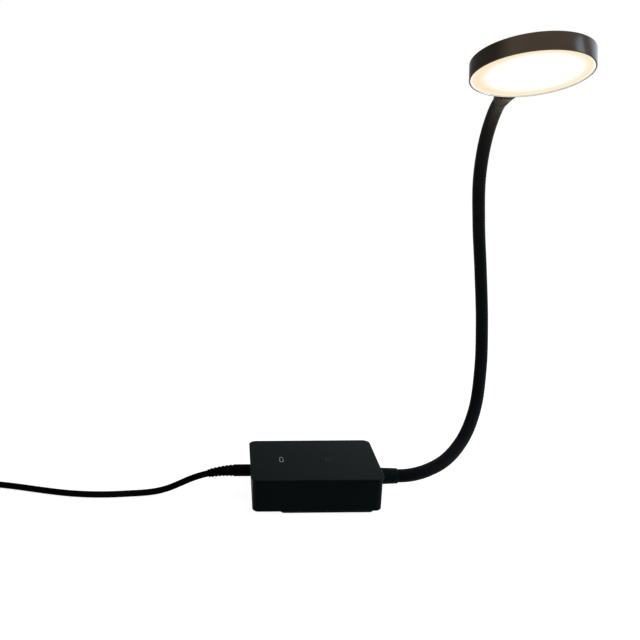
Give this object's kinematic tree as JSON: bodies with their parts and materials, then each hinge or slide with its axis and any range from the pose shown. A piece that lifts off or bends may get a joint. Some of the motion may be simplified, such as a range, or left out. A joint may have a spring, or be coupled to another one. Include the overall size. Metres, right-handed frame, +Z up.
{
  "type": "led bedside lamp",
  "caption": "Bedside lamp: a flat black box with a charging socket and a push button on top, a flexible neck from its side and a thin round head with a lit face.",
  "frame": {"origin": "on the grip pad's underside, below the centre of the base", "axes": "+X towards the side where the neck leaves the base, +Y to the back, +Z up"},
  "size_m": [0.5779, 0.2498, 0.371],
  "materials": {
    "black_plastic": "fine satin",
    "lid_plastic": "fine matte",
    "black_rubber": "matte",
    "sleeve_rubber": "satin",
    "black_metal": "black anodised, satin",
    "core_metal": "wound, satin",
    "steel": "plain",
    "zinc": "zinc plated",
    "nickel": "nickel plated",
    "board_green": "solder mask",
    "board_white": "white solder mask",
    "opal": "opal, lit warm white",
    "white_plastic": "matte",
    "transformer_tape": "taped",
    "can_sleeve": "gloss sleeve"
  },
  "bodies": {
    "base": {"grip_pad": "black_rubber", "base_shell": "black_plastic", "top_cover": "lid_plastic", "ballast_plate": "steel", "power_board": "board_green", "transformer": "transformer_tape", "capacitor": "can_sleeve", "control_board": "board_green", "usb_c_shell": "nickel", "usb_c_tongue": "black_plastic", "button_switch": "black_plastic", "neck_collar": "black_plastic", "collar_nut": "zinc", "mains_lead": "black_rubber", "neck_lead": "white_plastic", "cord_relief": "black_rubber", "cord": "black_rubber", "cord_coil": "black_rubber", "cord_tail": "black_rubber", "coil_tie": "black_rubber", "mains_plug": "black_rubber", "plug_pin_1": "nickel", "plug_pin_2": "nickel", "power_board_screw_1": "zinc", "power_board_screw_2": "zinc", "control_board_screw_1": "zinc", "control_board_screw_2": "zinc", "base_screw_1": "zinc", "base_screw_2": "zinc", "base_screw_3": "zinc", "base_screw_4": "zinc", "neck_core_0": "core_metal", "neck_sleeve_0": "sleeve_rubber"},
    "power_button": {"power_button": "lid_plastic"},
    "lamp_head": {"neck_core_7": "core_metal", "neck_sleeve_7": "sleeve_rubber", "head_housing": "black_metal", "head_socket": "black_metal", "head_nut": "zinc", "diffuser": "opal", "reflector": "white_plastic", "led_board": "board_white", "led_board_screw_1": "zinc", "led_board_screw_2": "zinc", "head_lead": "white_plastic"},
    "neck_1": {"neck_core_1": "core_metal", "neck_sleeve_1": "sleeve_rubber"},
    "neck_2": {"neck_core_2": "core_metal", "neck_sleeve_2": "sleeve_rubber"},
    "neck_3": {"neck_core_3": "core_metal", "neck_sleeve_3": "sleeve_rubber"},
    "neck_4": {"neck_core_4": "core_metal", "neck_sleeve_4": "sleeve_rubber"},
    "neck_5": {"neck_core_5": "core_metal", "neck_sleeve_5": "sleeve_rubber"},
    "neck_6": {"neck_core_6": "core_metal", "neck_sleeve_6": "sleeve_rubber"}
  },
  "joints": [
    {"name": "power_button_press", "type": "slide", "parent": "base", "child": "power_button", "axis": [0, 0, -1], "range_m": [0, 0.0005], "stiffness_N_per_m": 600, "springref_m": -0.001},
    {"name": "neck_bend_1", "type": "hinge", "parent": "base", "child": "neck_1", "pos_m": [0.08199, 0.00029, 0.01556], "axis": [0.1168, -0.9931, 0.0012], "range_deg": [-15, 30]},
    {"name": "neck_bend_2", "type": "hinge", "parent": "neck_1", "child": "neck_2", "pos_m": [0.13801, 0.03233, 0.02761], "axis": [-0.329, -0.1958, 0.9238], "range_deg": [-30, 30]},
    {"name": "neck_bend_3", "type": "hinge", "parent": "neck_2", "child": "neck_3", "pos_m": [0.16786, 0.07424, 0.06882], "axis": [0.7643, -0.6175, 0.1858], "range_deg": [-30, 30]},
    {"name": "neck_bend_4", "type": "hinge", "parent": "neck_3", "child": "neck_4", "pos_m": [0.17463, 0.10113, 0.12957], "axis": [-0.6443, -0.7326, 0.2195], "range_deg": [-30, 30]},
    {"name": "neck_bend_5", "type": "hinge", "parent": "neck_4", "child": "neck_5", "pos_m": [0.16982, 0.11232, 0.19542], "axis": [0.7688, -0.6255, 0.1326], "range_deg": [-30, 30]},
    {"name": "neck_bend_6", "type": "hinge", "parent": "neck_5", "child": "neck_6", "pos_m": [0.15989, 0.10496, 0.26112], "axis": [-0.587, -0.7496, -0.3058], "range_deg": [-30, 30]},
    {"name": "neck_bend_7", "type": "hinge", "parent": "neck_6", "child": "lamp_head", "pos_m": [0.15466, 0.07348, 0.31948], "axis": [0.8238, -0.4337, -0.3651], "range_deg": [-30, 30]}
  ]
}
